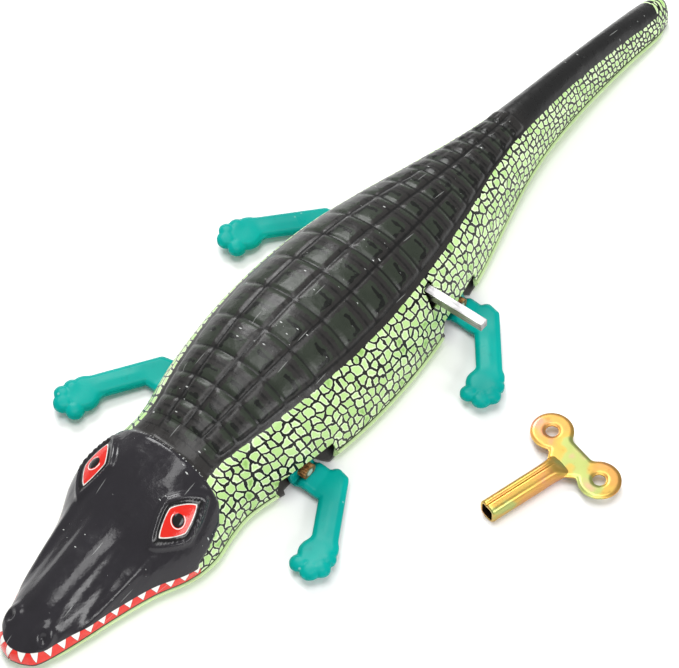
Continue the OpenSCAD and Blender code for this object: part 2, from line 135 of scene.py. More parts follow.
def stripe_half(x):
    """Half width of the black back stripe, along the surface."""
    return curve(x, (-114, 3.6), (-107, 4.5), (-90, 4.9), (-70, 5.3), (-50, 5.9), (-38, 8), (-25.5, 11.6),
                 (-13, 15), (0, 17.7), (12, 19), (24.5, 19.1), (37, 17.8), (50, 15), (62, 11.6), (67.7, 11.3),
                 (90, 9), (120, 1))


def head_line(s):
    """x of the head's rear edge at the distance s from the top."""
    return curve(s, (0, 67.7), (11.5, 67.7), (16.8, 68.3), (20.2, 70.8), (21.8, 75), (22.7, 79.2), (40, 84))


# x of the grooves across the back, tail to head
GROOVES = [-55, -50.4, -45.6, -40.8, -36.5, -31.3, -26.3, -19.5, -12.2, -2.9, 5.3, 14.6, 24.8, 34.8, 43.9,
           51.2, 57.1, 62.2]


ROW_MID, ROW_END = 0.42, 0.9  # shares of the stripe's half width where the two rows of scutes end
FAR = 9


def scutes(x, s):
    """(height of the scutes 0..1, distance to the nearest groove, distance to the mark in each scute)."""
    g = np.array(GROOVES)
    k = np.clip(np.searchsorted(g, x) - 1, 0, len(g) - 2)
    across_x = np.minimum(x - g[k], g[k + 1] - x)
    frac_x = (x - g[k]) / (g[k + 1] - g[k])
    half = stripe_half(x)
    mid, end = ROW_MID * half, ROW_END * half
    a = abs(s)
    side = a > mid
    # the groove between the rows fades out behind the movement
    d_mid = abs(a - mid) + FAR * smooth(-x, 26, 31)
    d_s = np.minimum(np.minimum(a, d_mid), end - a)
    frac_s = np.where(side, (a - mid) / (end - mid), a / mid)
    d_x = np.where((x > g[0]) & (x < g[-1]), across_x, -1)
    height = smooth(d_x, -0.2, 1.1) * smooth(d_s, -0.2, 1.1)
    crown = (1 - (2 * frac_x.clip(0, 1) - 1) ** 2) * (1 - (2 * frac_s.clip(0, 1) - 1) ** 2)
    # a bent stroke printed near one corner
    long, broad = g[k + 1] - g[k], np.where(side, end - mid, mid)
    u, v = frac_x * long, frac_s * broad
    u0, u1, v0, v1 = 0.26 * long, 0.6 * long, 0.34 * broad, 0.8 * broad
    upright = np.hypot(u - u0, np.maximum(0, np.maximum(v0 - v, v - v1)))
    flat = np.hypot(v - v1, np.maximum(0, np.maximum(u0 - u, u - u1)))
    mark = np.where(d_x > 0, np.minimum(upright, flat), FAR)
    return height * (0.7 + 0.3 * crown), np.minimum(d_x, d_s), mark


REGISTER = 2.7  # how far the scutes are printed ahead of their pressing
BAND, TOOTH_PITCH, JAW_REACH = 2.8, 3.3, 46.5
EYE_X, EYE_S, EYE_TILT = 78, 11.9, math.radians(-11.6)
EYE_LONG, EYE_HIGH, EYE_POWER = 4.8, 2.7, 1.25
RIM_LONG, RIM_HIGH = 8.2, 4.9
NOSTRIL_X, NOSTRIL_S = 113.4, 4.6


def eye_place(x, s):
    """Place from the eye's centre, along and across its own tilted axes."""
    dx, ds = x - EYE_X, abs(s) - EYE_S
    c, n = math.cos(EYE_TILT), math.sin(EYE_TILT)
    return dx * c + ds * n, -dx * n + ds * c


def relief(x, s, lower):
    """Height of the pressing above the body form."""
    a = abs(s)
    # scutes, in a shallow bed
    h = 0.5 * scutes(x, s)[0]
    h = h - 0.25 * smooth(stripe_half(x) - a, -0.8, 1.6) * smooth(64 - x, 0, 3) * smooth(x + 58, 0, 8)
    # step at the head's rear edge
    behind = x - head_line(a)
    h = h + 0.65 * smooth(behind, -0.5, 0.5) * smooth(90 - x, 0, 14) * smooth(27 - a, 0, 4)
    # rim and ball of each eye
    ex, ey = eye_place(x, s)
    rim = ((abs(ex) / RIM_LONG) ** EYE_POWER + (abs(ey) / RIM_HIGH) ** EYE_POWER) ** (1 / EYE_POWER)
    h = h + 0.85 * np.exp(-(((rim - 0.9) / 0.12) ** 2)) + 0.35 * (1 - smooth(rim, 0.55, 0.9))
    h = h + 0.3 * (1 - smooth(np.hypot(ex, ey), 0.9, 1.8))
    # snout: middle ridge, a valley each side, and the fold outside it
    ridge = np.exp(-(a / 3.0) ** 4) * smooth(x, 86, 94) * smooth(113 - x, 0, 5)
    h = h + 0.35 * ridge
    valley = np.exp(-(((x - 97) / 10.5) ** 4) - ((a - 7.4) / 2.9) ** 4)
    h = h - 0.75 * valley
    h = h + 0.3 * np.exp(-(((x - 98) / 12) ** 4) - ((a - 11.6) / 1.3) ** 2)
    # nostrils and brows
    near = np.hypot(x - NOSTRIL_X, (a - NOSTRIL_S) * 1.1)
    hole = np.hypot(x - NOSTRIL_X - 0.3, a - NOSTRIL_S)
    h = h + 0.95 * np.exp(-((near / 2.6) ** 4)) - 1.1 * np.exp(-((hole / 1.1) ** 2))
    brow = np.exp(-((x - 72) / 4.5) ** 2 - ((a - 5.2) / 2.6) ** 2)
    h = h + 0.35 * brow
    return h * smooth(lower, 0.3, 3)


# ---------------------------------------------------------------- mesh helpers

def mesh_piece(name, points, faces, materials, attributes=None, face_material=None):
    """One smooth mesh object from millimetre points; attributes are vectors on its points."""
    mesh = bpy.data.meshes.new(name)
    corners = [tuple(p) for p in np.asarray(points) * MM]
    mesh.from_pydata(corners, [], [tuple(int(i) for i in f) for f in faces])
    for m in materials:
        mesh.materials.append(m)
    for key, values in (attributes or {}).items():
        layer = mesh.attributes.new(key, "FLOAT_VECTOR", "POINT")
        layer.data.foreach_set("vector", np.asarray(values, np.float32).ravel())
    if face_material is not None:
        mesh.polygons.foreach_set("material_index", np.asarray(face_material, np.int32))
    mesh.polygons.foreach_set("use_smooth", np.ones(len(mesh.polygons), bool))
    mesh.update()
    piece = bpy.data.objects.new(name, mesh)
    bpy.context.scene.collection.objects.link(piece)
    return piece


def sharpen(piece, degrees):
    """Edges sharper than this stay crisp under smooth shading."""
    piece.data.set_sharp_from_angle(angle=math.radians(degrees))


def grid_faces(rows, cols, keep=None):
    """Quads of a grid of points; keep[rows - 1, cols - 1] says which of them stay."""
    i, j = np.meshgrid(np.arange(rows - 1), np.arange(cols - 1), indexing="ij")
    a = i * cols + j
    faces = np.stack([a, a + 1, a + cols + 1, a + cols], -1).reshape(-1, 4)
    return faces if keep is None else faces[keep.ravel()]


def border_edges(faces):
    """Directed edges that only one face uses."""
    edges = np.concatenate([faces[:, [0, 1]], faces[:, [1, 2]], faces[:, [2, 3]], faces[:, [3, 0]]])
    seen = {(int(a), int(b)) for a, b in edges}
    return [(a, b) for a, b in seen if (b, a) not in seen]


def two_skins(top, bottom, faces):
    """A closed sheet from matching top and bottom points.

    Returns (points, faces, 0 top or 1 bottom or 2 rim for each face, which points of top + bottom are kept).
    """
    n = len(top)
    rim = [(b, a, a + n, b + n) for a, b in border_edges(faces)]
    back = faces[:, ::-1] + n
    every = np.concatenate([faces, back, np.array(sorted(rim))])
    kind = np.concatenate([np.zeros(len(faces)), np.ones(len(back)), np.full(len(rim), 2)]).astype(int)
    used = np.unique(every)
    index = np.full(2 * n, -1)
    index[used] = np.arange(len(used))
    return np.concatenate([top, bottom])[used], index[every], kind, used


def grid_normals(points):
    """Normals of a points[rows, cols, 3] grid."""
    along = np.gradient(points, axis=0)
    across = np.gradient(points, axis=1)
    n = np.cross(across, along)
    return n / np.linalg.norm(n, axis=-1, keepdims=True).clip(1e-9)


# ---------------------------------------------------------------- materials

KEY_X, KEY_Y, KEY_TURN = 4.6, 62.8, math.radians(-15)


def rgb(r, g, b):
    """Linear colour from 0..255 screen values."""
    return tuple(((c / 255 + 0.055) / 1.055) ** 2.4 if c > 10 else c / 255 / 12.92 for c in (r, g, b)) + (1,)


class Shader:
    """A Principled material with short calls for the nodes that feed it."""

    def __init__(self, name, **sockets):
        self.material = bpy.data.materials.new(name)
        self.material.use_nodes = True
        self.tree = self.material.node_tree
        self.out = next(n for n in self.tree.nodes if n.type == "BSDF_PRINCIPLED")
        for key, value in sockets.items():
            self.set(key.replace("_", " "), value)

    def put(self, socket, value):
        if isinstance(value, bpy.types.NodeSocket):
            self.tree.links.new(value, socket)
        else:
            socket.default_value = value

    def set(self, key, value):
        self.put(self.out.inputs[key], value)

    def node(self, kind, inputs, **properties):
        n = self.tree.nodes.new("ShaderNode" + kind)
        for key, value in properties.items():
            setattr(n, key, value)
        for key, value in inputs.items():
            self.put(n.inputs[key], value)
        return n

    def math(self, operation, a, b=0.0, clamp=False):
        return self.node("Math", {0: a, 1: b}, operation=operation, use_clamp=clamp).outputs[0]

    def plus(self, a, b, clamp=False):
        return self.math("ADD", a, b, clamp)

    def times(self, a, b):
        return self.math("MULTIPLY", a, b)

    def length(self, vector):
        return self.node("VectorMath", {0: vector}, operation="LENGTH").outputs["Value"]

    def split(self, vector):
        return self.node("SeparateXYZ", {0: vector}).outputs

    def attribute(self, name):
        return self.split(self.node("Attribute", {}, attribute_name=name).outputs["Vector"])

    def place(self, x, y, z=0.0):
        return self.node("CombineXYZ", {0: x, 1: y, 2: z}).outputs[0]

    def coords(self):
        return self.node("TexCoord", {}).outputs["Object"]

    def noise(self, vector, scale, detail=2.0, roughness=0.5):
        return self.node("TexNoise", {"Vector": vector, "Scale": scale, "Detail": detail,
                                      "Roughness": roughness}).outputs["Fac"]

    def cells(self, vector, randomness, **properties):
        """Voronoi cells over a flat vector."""
        return self.node("TexVoronoi", {"Vector": vector, "Scale": 1.0, "Randomness": randomness},
                         voronoi_dimensions="2D", **properties).outputs

    def pick(self, cells):
        """The random channels of each cell."""
        return self.node("SeparateColor", {0: cells["Color"]}).outputs

    def stretch(self, vector, scale, turn=(0, 0, 0)):
        return self.node("Mapping", {"Vector": vector, "Scale": scale, "Rotation": turn}).outputs[0]

    def step(self, value, low, high):
        return self.node("MapRange", {"Value": value, "From Min": low, "From Max": high},
                         interpolation_type="SMOOTHSTEP").outputs[0]

    def below(self, value, low, high):
        return self.math("SUBTRACT", 1.0, self.step(value, low, high))

    def spread(self, noise, amount):
        """Noise turned to about plus or minus the amount."""
        return self.ramp(noise, 0.3, 0.7, -amount, amount)

    def ramp(self, value, low, high, a, b):
        return self.node("MapRange", {"Value": value, "From Min": low, "From Max": high, "To Min": a,
                                      "To Max": b}).outputs[0]

    def mix(self, factor, a, b):
        return self.node("Mix", {"Factor": factor, 6: a, 7: b}, data_type="RGBA").outputs[2]

    def bump(self, height, strength, distance):
        sockets = {"Height": height, "Strength": strength, "Distance": distance}
        self.set("Normal", self.node("Bump", sockets).outputs[0])


INK = rgb(9, 11, 10)


def printed_tin():
    """The lithographed shell, drawn from the attributes that build_shell() puts on it."""
    m = Shader("printed_tin", Metallic=0.0, IOR=1.45)
    x, s, edge = m.attribute("place")
    stripe, head, mouth = m.attribute("bands")
    ex, ey, q = m.attribute("face")
    cx, cy, printed = m.attribute("cells")
    pressed, mark, size = m.attribute("marks")
    place = m.place(x, s)
    wobble = m.noise(place, 0.9, 2.0)
    # green scales
    warp_a = m.noise(m.place(cx, cy), 1.3, 1.0)
    warp_b = m.noise(m.place(cy, cx, 4.0), 1.3, 1.0)
    wx = m.plus(cx, m.spread(warp_a, 0.12))
    wy = m.plus(cy, m.spread(warp_b, 0.12))
    cell_at = m.place(wx, wy)
    gap = m.cells(cell_at, 0.6, feature="DISTANCE_TO_EDGE")["Distance"]
    which = m.cells(cell_at, 0.6)
    tone = m.pick(which)[0]
    corner = m.math("SUBTRACT", 0.7, which["Distance"])
    gap = m.math("MINIMUM", gap, m.plus(m.times(corner, 0.8), 0.09))
    gap = m.plus(gap, m.spread(m.noise(place, 2.2, 1.0), 0.02))
    gap = m.times(gap, size)
    # painted highlight: a pale rim round each cell, just inside its ink outline
    fill = m.mix(m.step(m.plus(gap, m.ramp(tone, 0, 1, -0.05, 0.05)), 0.15, 0.24), rgb(222, 238, 198),
                 m.mix(m.step(tone, 0.1, 0.9), rgb(190, 224, 150), rgb(174, 212, 132)))
    fill = m.mix(m.times(m.step(tone, 0.93, 0.96), m.step(gap, 0.2, 0.4)), fill, rgb(140, 184, 98))
    green = m.mix(m.step(gap, 0.1, 0.14), INK, fill)
    green = m.mix(m.step(edge, 0.35, 0.6), INK, green)
    # back stripe: painted shade in the pressed grooves, and scute panels printed a little out of register
    # with them
    olive = m.mix(m.noise(place, 0.35, 3.0), rgb(36, 42, 34), rgb(48, 54, 45))
    back = m.mix(m.noise(place, 0.3, 3.0), rgb(36, 35, 34), rgb(44, 42, 41))
    back = m.mix(m.step(m.plus(printed, m.spread(wobble, 0.25)), 1.1, 1.35), back, olive)
    lines = m.below(m.math("ABSOLUTE", printed), 0.18, 0.42)
    back = m.mix(m.times(lines, m.ramp(wobble, 0.3, 0.6, 0.2, 0.9)), back, rgb(18, 18, 18))
    stroke = m.plus(mark, m.spread(m.noise(place, 0.5, 2.0), 0.35))
    back = m.mix(m.math("SUBTRACT", 0.9, m.step(stroke, 0.35, 0.5)), back, rgb(14, 15, 14))
    # painted shade: near-black in the pressed grooves, apart from the printed lines
    groove = m.math("SUBTRACT", 0.85, m.step(m.math("ABSOLUTE", pressed), 0.1, 0.5))
    back = m.mix(groove, back, rgb(15, 15, 15))
    back = m.mix(m.step(m.times(x, -1.0), 52.0, 60.0), back, rgb(28, 28, 28))
    colour = m.mix(m.step(m.plus(stripe, m.spread(wobble, 0.12)), -0.08, 0.08), green, back)
    # head
    black = m.mix(m.noise(place, 0.2, 2.0), rgb(30, 28, 32), rgb(38, 36, 41))
    colour = m.mix(m.step(head, -0.06, 0.06), colour, black)
    # mouth: red band with white teeth whose tips point to the lip
    in_jaw = m.step(q, -JAW_REACH, 0.5 - JAW_REACH)
    in_jaw = m.times(in_jaw, m.step(m.times(q, -1.0), -JAW_REACH, 0.5 - JAW_REACH))
    saw = m.math("PINGPONG", m.plus(q, 100.0), TOOTH_PITCH / 2)
    slope = m.times(m.math("SUBTRACT", BAND, mouth), 0.5)
    tooth_edge = m.math("SUBTRACT", m.math("SUBTRACT", saw, 0.55), slope)
    red = m.mix(m.noise(place, 0.6, 2.0), rgb(214, 40, 34), rgb(232, 62, 50))
    band = m.mix(m.step(tooth_edge, -0.02, 0.05), red, rgb(60, 14, 14))
    band = m.mix(m.step(tooth_edge, 0.05, 0.11), band, rgb(242, 240, 234))
    band = m.mix(m.step(mouth, 0.3, 0.42), rgb(24, 12, 12), band)
    jaw = m.times(in_jaw, m.below(mouth, BAND - 0.05, BAND + 0.07))
    colour = m.mix(jaw, colour, band)
    # eyes
    lens_x, lens_y = (m.math("POWER", m.math("DIVIDE", m.math("ABSOLUTE", value), reach), EYE_POWER)
                      for value, reach in ((ex, EYE_LONG), (ey, EYE_HIGH)))
    lens = m.plus(lens_x, lens_y)
    moat = m.below(lens, 1.45, 1.6)
    colour = m.mix(moat, colour, rgb(12, 11, 13))
    keyline = m.times(m.below(lens, 1.09, 1.13), m.ramp(wobble, 0.3, 0.5, 0.55, 1.0))
    colour = m.mix(keyline, colour, rgb(232, 226, 220))
    colour = m.mix(m.below(lens, 1.0, 1.03), colour, rgb(214, 36, 24))
    pupil = m.length(m.place(ex, ey))
    ring = m.times(m.step(pupil, 1.42, 1.48), m.below(pupil, 1.62, 1.68))
    ring = m.times(ring, m.step(m.plus(ex, ey), -1.7, -1.3))
    colour = m.mix(ring, colour, rgb(236, 230, 224))
    colour = m.mix(m.below(pupil, 1.3, 1.38), colour, rgb(16, 14, 15))
    # ink chipped to bright tin: clustered specks, the head's rear edge, hairline scratches
    chips = m.cells(m.stretch(place, (1.1, 0.42, 1), (0, 0, 0.6)), 1.0)
    chip_pick = m.pick(chips)
    reach = m.times(m.math("POWER", chip_pick[0], 3.0), 0.17)
    ragged = m.plus(chips["Distance"], m.spread(m.noise(place, 3.0, 2.0), 0.03))
    chip = m.times(m.math("LESS_THAN", ragged, reach), m.step(chip_pick[1], 0.7, 0.72))
    chip = m.times(chip, m.step(m.noise(place, 0.09, 2.0), 0.52, 0.58))
    seam = m.times(m.below(m.math("ABSOLUTE", head), 0.12, 0.3),
                  m.step(m.noise(place, 1.6, 2.0), 0.56, 0.6))
    hair = m.cells(m.stretch(place, (0.016, 0.3, 1), (0, 0, 0.35)), 1.0)["Distance"]
    hair = m.times(m.below(hair, 0.02, 0.034), 0.35)
    chip = m.math("MAXIMUM", m.math("MAXIMUM", chip, seam), hair)
    chip = m.times(chip, m.plus(m.step(stripe, 0.4, 1.0), m.step(head, -0.3, 0.3), clamp=True))
    chip = m.times(chip, m.step(lens, 1.3, 1.6))
    colour = m.mix(m.times(chip, 0.75), colour, rgb(205, 208, 205))
    m.set("Base Color", colour)
    film = m.noise(place, 0.5, 4.0)
    dull = m.ramp(film, 0.3, 0.7, 0.24, 0.36)
    m.set("Roughness", m.math("SUBTRACT", dull, m.times(m.step(head, -0.5, 0.5), 0.11)))
    m.set("Specular IOR Level", m.ramp(m.step(head, -0.5, 0.5), 0, 1, 0.3, 0.45))
    fine = m.plus(m.noise(place, 0.25, 3.0), m.times(m.noise(place, 5.0, 2.0), 0.02))
    m.bump(fine, 0.35, 0.0006)
    return m.material


def bare_tin():
    """Unprinted inside of the shell: dull tinplate with rolling marks."""
    m = Shader("bare_tin", Metallic=0.5)
    place = m.coords()
    m.set("Base Color", m.mix(m.noise(place, 90.0, 3.0), rgb(120, 117, 116), rgb(168, 165, 162)))
    m.set("Roughness", m.ramp(m.noise(m.stretch(place, (30, 900, 900)), 1.0, 2.0), 0.3, 0.7, 0.34, 0.55))
    m.bump(m.noise(m.stretch(place, (40, 1500, 1500)), 1.0), 0.15, 0.0001)
    return m.material


def lacquer(name, low, high, deep, rough, shine=0.5):
    """Gloss lacquer on tin: slow colour drift, thin spots, dust nibs and orange peel."""
    m = Shader(name, Metallic=0.0, IOR=1.45)
    m.set("Specular IOR Level", shine)
    place = m.coords()
    drift = m.noise(place, 55.0, 3.0)
    colour = m.mix(m.step(drift, 0.32, 0.68), low, high)
    thin = m.step(m.noise(place, 260.0, 4.0, 0.65), 0.62, 0.74)
    colour = m.mix(m.times(thin, 0.4), colour, deep)
    nibs = m.node("TexVoronoi", {"Vector": place, "Scale": 520.0, "Randomness": 1.0}).outputs
    pick = m.pick(nibs)[0]
    nib = m.times(m.below(nibs["Distance"], 0.1, 0.2), m.step(pick, 0.93, 0.95))
    colour = m.mix(m.times(nib, 0.2), colour, rgb(225, 240, 236))
    m.set("Base Color", colour)
    m.set("Roughness", m.ramp(m.noise(place, 180.0, 3.0), 0.3, 0.7, rough, rough + 0.12))
    peel = m.plus(m.noise(place, 420.0, 2.0), m.times(nib, 0.5))
    m.bump(peel, 0.25, 0.00012)
    return m.material


def brushed(name, low, high, along, rough):
    """Bare metal with brushing along one axis, small stains and scratches."""
    m = Shader(name, Metallic=1.0)
    place = m.coords()
    lines = m.noise(m.stretch(place, along), 1.0, 3.0, 0.6)
    stain = m.noise(place, 150.0, 4.0)
    colour = m.mix(m.step(stain, 0.35, 0.7), low, high)
    m.set("Base Color", m.mix(m.times(m.step(lines, 0.52, 0.66), 0.6), colour, low))
    m.set("Roughness", m.ramp(lines, 0.3, 0.7, rough, rough + 0.16))
    m.bump(lines, 0.2, 0.00008)
    return m.material


def passivated():
    """Yellow zinc passivate: a gold film that shifts to green, pink and blue over the sheet."""
    m = Shader("yellow_passivate", Metallic=1.0)
    place = m.coords()
    cloud = m.noise(m.stretch(place, (1, 1, 1.6)), 78.0, 2.5, 0.55)
    swirl = m.noise(place, 210.0, 3.0)
    phase = m.plus(cloud, m.spread(swirl, 0.05))
    x, y, z = m.split(place)
    centre = m.length(m.place(m.math("SUBTRACT", x, KEY_X * MM), m.math("SUBTRACT", y, KEY_Y * MM)))
    phase = m.plus(phase, m.ramp(centre, 0.0015, 0.006, 0.12, 0.0))
    colour = m.mix(m.step(phase, 0.36, 0.46), rgb(206, 142, 118), rgb(204, 152, 84))
    colour = m.mix(m.step(phase, 0.47, 0.55), colour, rgb(196, 162, 82))
    colour = m.mix(m.step(phase, 0.56, 0.63), colour, rgb(166, 174, 104))
    colour = m.mix(m.step(phase, 0.66, 0.74), colour, rgb(190, 150, 128))
    dark = m.step(m.noise(place, 600.0, 3.0), 0.62, 0.75)
    m.set("Base Color", m.mix(m.times(dark, 0.35), colour, rgb(140, 96, 58)))
    m.set("Roughness", m.ramp(swirl, 0.3, 0.7, 0.3, 0.44))
    m.bump(m.noise(place, 900.0, 2.0), 0.12, 0.00008)
    return m.material


def knurled():
    """Axle ends: brown passivate with a painted highlight on the centre of each end face."""
    m = Shader("knurled_steel", Metallic=0.4)
    x, y, z = m.split(m.coords())
    centre = m.math("SUBTRACT", z, AXLE_Z * MM)
    front = m.math("ABSOLUTE", m.math("SUBTRACT", x, FRONT_X * MM))
    rear = m.math("ABSOLUTE", m.math("SUBTRACT", x, REAR_X * MM))
    # painted highlight: a bright spot on the centre of each axle end face
    end_face_highlight = m.below(m.length(m.place(m.math("MINIMUM", front, rear), centre)), 0.0007, 0.0011)
    grain = m.noise(m.coords(), 900.0, 3.0)
    brown = m.mix(m.step(grain, 0.35, 0.65), rgb(96, 60, 34), rgb(176, 128, 78))
    m.set("Base Color", m.mix(end_face_highlight, brown, rgb(235, 228, 214)))
    m.set("Roughness", m.ramp(grain, 0.3, 0.7, 0.25, 0.45))
    m.bump(grain, 0.2, 0.0001)
    return m.material


def paper():
    m = Shader("floor_paper", Metallic=0.0, Roughness=0.9)
    fleck = m.noise(m.coords(), 40.0, 4.0)
    m.set("Base Color", m.mix(fleck, rgb(246, 246, 246), rgb(250, 250, 250)))
    m.set("Specular IOR Level", 0.1)
    return m.material


PRINTED = printed_tin()
BARE = bare_tin()
TEAL = lacquer("teal_lacquer", rgb(0, 146, 138), rgb(0, 160, 150), rgb(0, 130, 124), 0.26, 0.12)
PALE_GREEN = lacquer("pale_green_lacquer", rgb(196, 224, 160), rgb(206, 232, 172), rgb(176, 210, 140), 0.3)
NICKEL = brushed("bright_nickel", rgb(118, 117, 117), rgb(186, 185, 186), (1600, 60, 1600), 0.3)
PLATE = brushed("mill_tinplate", rgb(120, 118, 116), rgb(170, 168, 166), (80, 1500, 1500), 0.3)
BRASS = brushed("stamped_brass", rgb(176, 134, 60), rgb(216, 178, 96), (1200, 100, 1200), 0.26)
SPRING = brushed("blued_spring", rgb(46, 54, 78), rgb(84, 90, 110), (200, 1600, 200), 0.3)
ZINC = passivated()
KNURLED = knurled()
# painted shade: dark brown metal for the inside of the key's socket
SOCKET_SHADE = brushed("socket_painted_shade", rgb(40, 28, 18), rgb(64, 48, 30), (900, 900, 900), 0.6)

# ---------------------------------------------------------------- printed shell

SLOT_HALF, SLOT_LONG, SLOT_DROP = 1.7, 2.9, 0.8
SIDE_Y = 5  # beyond this y a point is on the left flank
CELL_LONG, CELL_HIGH, CELL_LEAN = 2.15, 2.5, 0.3


def shell_gap(x):
    return curve(x, (-110, 0.8), (-60, 0.75), (-54, 0.45), (112, 0.45), (120, 0.4))


def cell_size(x):
    """The scale cells shrink towards the tail."""
    return curve(-x, (-120, 1), (20, 1), (60, 0.82), (115, 0.66))


def lip_distance(pts, lip, lip_run):
    """Distance of each point to the lip, and the length along the lip to its nearest place."""
    best, run = np.full(len(pts), 1e9), np.zeros(len(pts))
    for a, b, ra, rb in zip(lip[:-1], lip[1:], lip_run[:-1], lip_run[1:]):
        d = b - a
        f = np.clip((pts - a) @ d / max(d @ d, 1e-9), 0, 1)
        gone = np.linalg.norm(pts - a - f[:, None] * d, axis=1)
        closer = gone < best
        best[closer] = gone[closer]
        run[closer] = (ra + f * (rb - ra))[closer]
    return best, run


def face_mean(v):
    return (v[1:, 1:] + v[:-1, 1:] + v[1:, :-1] + v[:-1, :-1]) / 4


def build_shell():
    rows = row_places(shell_gap)
    inner, outer = 38, 32
    share = np.concatenate([np.linspace(0, 1, inner, endpoint=False), 1 + np.linspace(0, 1, outer + 1)])
    signed = np.concatenate([-share[:0:-1], share])
    n_rows, n_cols = len(rows), len(signed)
    at = np.zeros((n_rows, n_cols, 3))
    place = np.zeros((n_rows, n_cols, 3))
    for i, row in enumerate(rows):
        arc, y, z = section(row)
        low = row[3] + (NOTCH_Z - row[3]) * notch(row[0])
        end = np.interp(-low, -z, arc)
        wide = min(stripe_half(row[0]), 0.62 * end)
        f = abs(signed)
        s = np.where(f < 1, f * wide, wide + (f - 1) * (end - wide)) * np.sign(signed)
        at[i, :, 0] = row[0]
        at[i, :, 1] = -np.sign(s) * np.interp(abs(s), arc, y)
        at[i, :, 2] = np.interp(abs(s), arc, z)
        place[i, :, 0] = row[0]
        place[i, :, 1] = s
        place[i, :, 2] = arc[-1] - abs(s)
    # pressing
    normal = grid_normals(at)
    normal *= np.sign(normal[n_rows // 2, n_cols // 2, 2])
    x, s, edge = place[..., 0], place[..., 1], place[..., 2]
    ends = smooth(HALF_LENGTH - abs(x), 0, 2)
    at += normal * (relief(x, s, edge) * ends)[..., None]
    # distance to the lip, and the length along it from the nose
    front = x[:, 0] > 60
    lip = np.concatenate([at[front, 0][::-1], at[front, -1]])
    lip_run = np.concatenate([[0], np.cumsum(np.linalg.norm(np.diff(lip, axis=0), axis=1))])
    lip_run -= lip_run[np.argmax(lip[:, 0])]
    mouth = np.full(x.shape, 50.0)
    q = np.zeros(x.shape)
    jaw = (x > 74) & (at[..., 2] < 14)
    best, run = lip_distance(at[jaw], lip, lip_run)
    # the band is broader round the nose
    mouth[jaw], q[jaw] = best * curve(abs(run), (0, 0.78), (12, 0.88), (28, 1)), run
    q[~jaw] = np.where(s[~jaw] > 0, 60, -60)
    stripe = stripe_half(x) - abs(s)
    stripe = np.minimum(stripe, x + TAIL_TIP - 0.12 * np.minimum(s**2, 60))
    head = x - head_line(abs(s))
    ex, ey = eye_place(x, s)
    pressed = scutes(x, s)[1]
    _, printed, mark = scutes(x - REGISTER, s)
    # scale cells lean and grow taller lower down; the right side's are shifted so the sides differ
    size = cell_size(x)
    steps = np.linspace(-HALF_LENGTH, HALF_LENGTH, 961)
    run_x = np.concatenate([[0], np.cumsum((steps[1] - steps[0]) / cell_size(steps[1:]))])
    down = np.maximum(-stripe, 0) / size
    cell_y = down / CELL_HIGH - 0.002 * down**2
    cell_x = np.interp(x, steps, run_x) / CELL_LONG + CELL_LEAN * cell_y
    cell_y = np.where(s < 0, cell_y, cell_y + 60)
    # slot for the winding square, on the left (+y) side
    slot_x, _, slot_z = (arbor_low + arbor_high) / 2 - (0, 0, SLOT_DROP)
    inside = np.maximum(abs(at[..., 0] - slot_x) - SLOT_HALF, abs(at[..., 2] - slot_z) - SLOT_LONG)
    left = (at[..., 1] > SIDE_Y).astype(float)
    faces = grid_faces(n_rows, n_cols, (face_mean(inside) >= 0) | (face_mean(left) <= 0.9))
    # pull the slot's edge points onto its outline
    rim = np.array(sorted({a for a, b in border_edges(faces)}))
    flat = at.reshape(-1, 3)
    for v in rim:
        dx, dz = flat[v, 0] - slot_x, flat[v, 2] - slot_z
        if flat[v, 1] > SIDE_Y and abs(dx) < SLOT_HALF + 1 and abs(dz) < SLOT_LONG + 1:
            if abs(dx) / SLOT_HALF > abs(dz) / SLOT_LONG:
                flat[v, 0] = slot_x + math.copysign(SLOT_HALF, dx)
            else:
                flat[v, 2] = slot_z + math.copysign(SLOT_LONG, dz)
    bottom = (at - SHELL_T * normal).reshape(-1, 3)
    points, closed, kind, used = two_skins(flat, bottom, faces)
    layers = {"place": (x, s, edge), "bands": (stripe, head, mouth), "face": (ex, ey, q),
              "cells": (cell_x, cell_y, printed), "marks": (pressed, mark, size)}
    on_points = {key: np.tile(np.stack(v, -1).reshape(-1, 3), (2, 1))[used] for key, v in layers.items()}
    shell = mesh_piece("tin_shell", points, closed, [PRINTED, BARE], on_points, (kind == 1).astype(int))
    sharpen(shell, 50)
    return shell


shell = build_shell()
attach(shell, "frame")
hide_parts("upper_shell")

# ---------------------------------------------------------------- belly pan

RIM_OUT, RIM_LAP, RIM_GAP = 1.1, 0.6, 0.1
PAN_LENGTH = 119.4 / 120
RIB_AT, RIB_BROAD, RIB_RISE = 0.72, 0.045, 0.35
hub_y = {end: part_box(f"{end}_left_leg")[0].y / MM for end in ("front", "rear")}


def belly_gap(x):
    return np.full_like(x, 0.7)


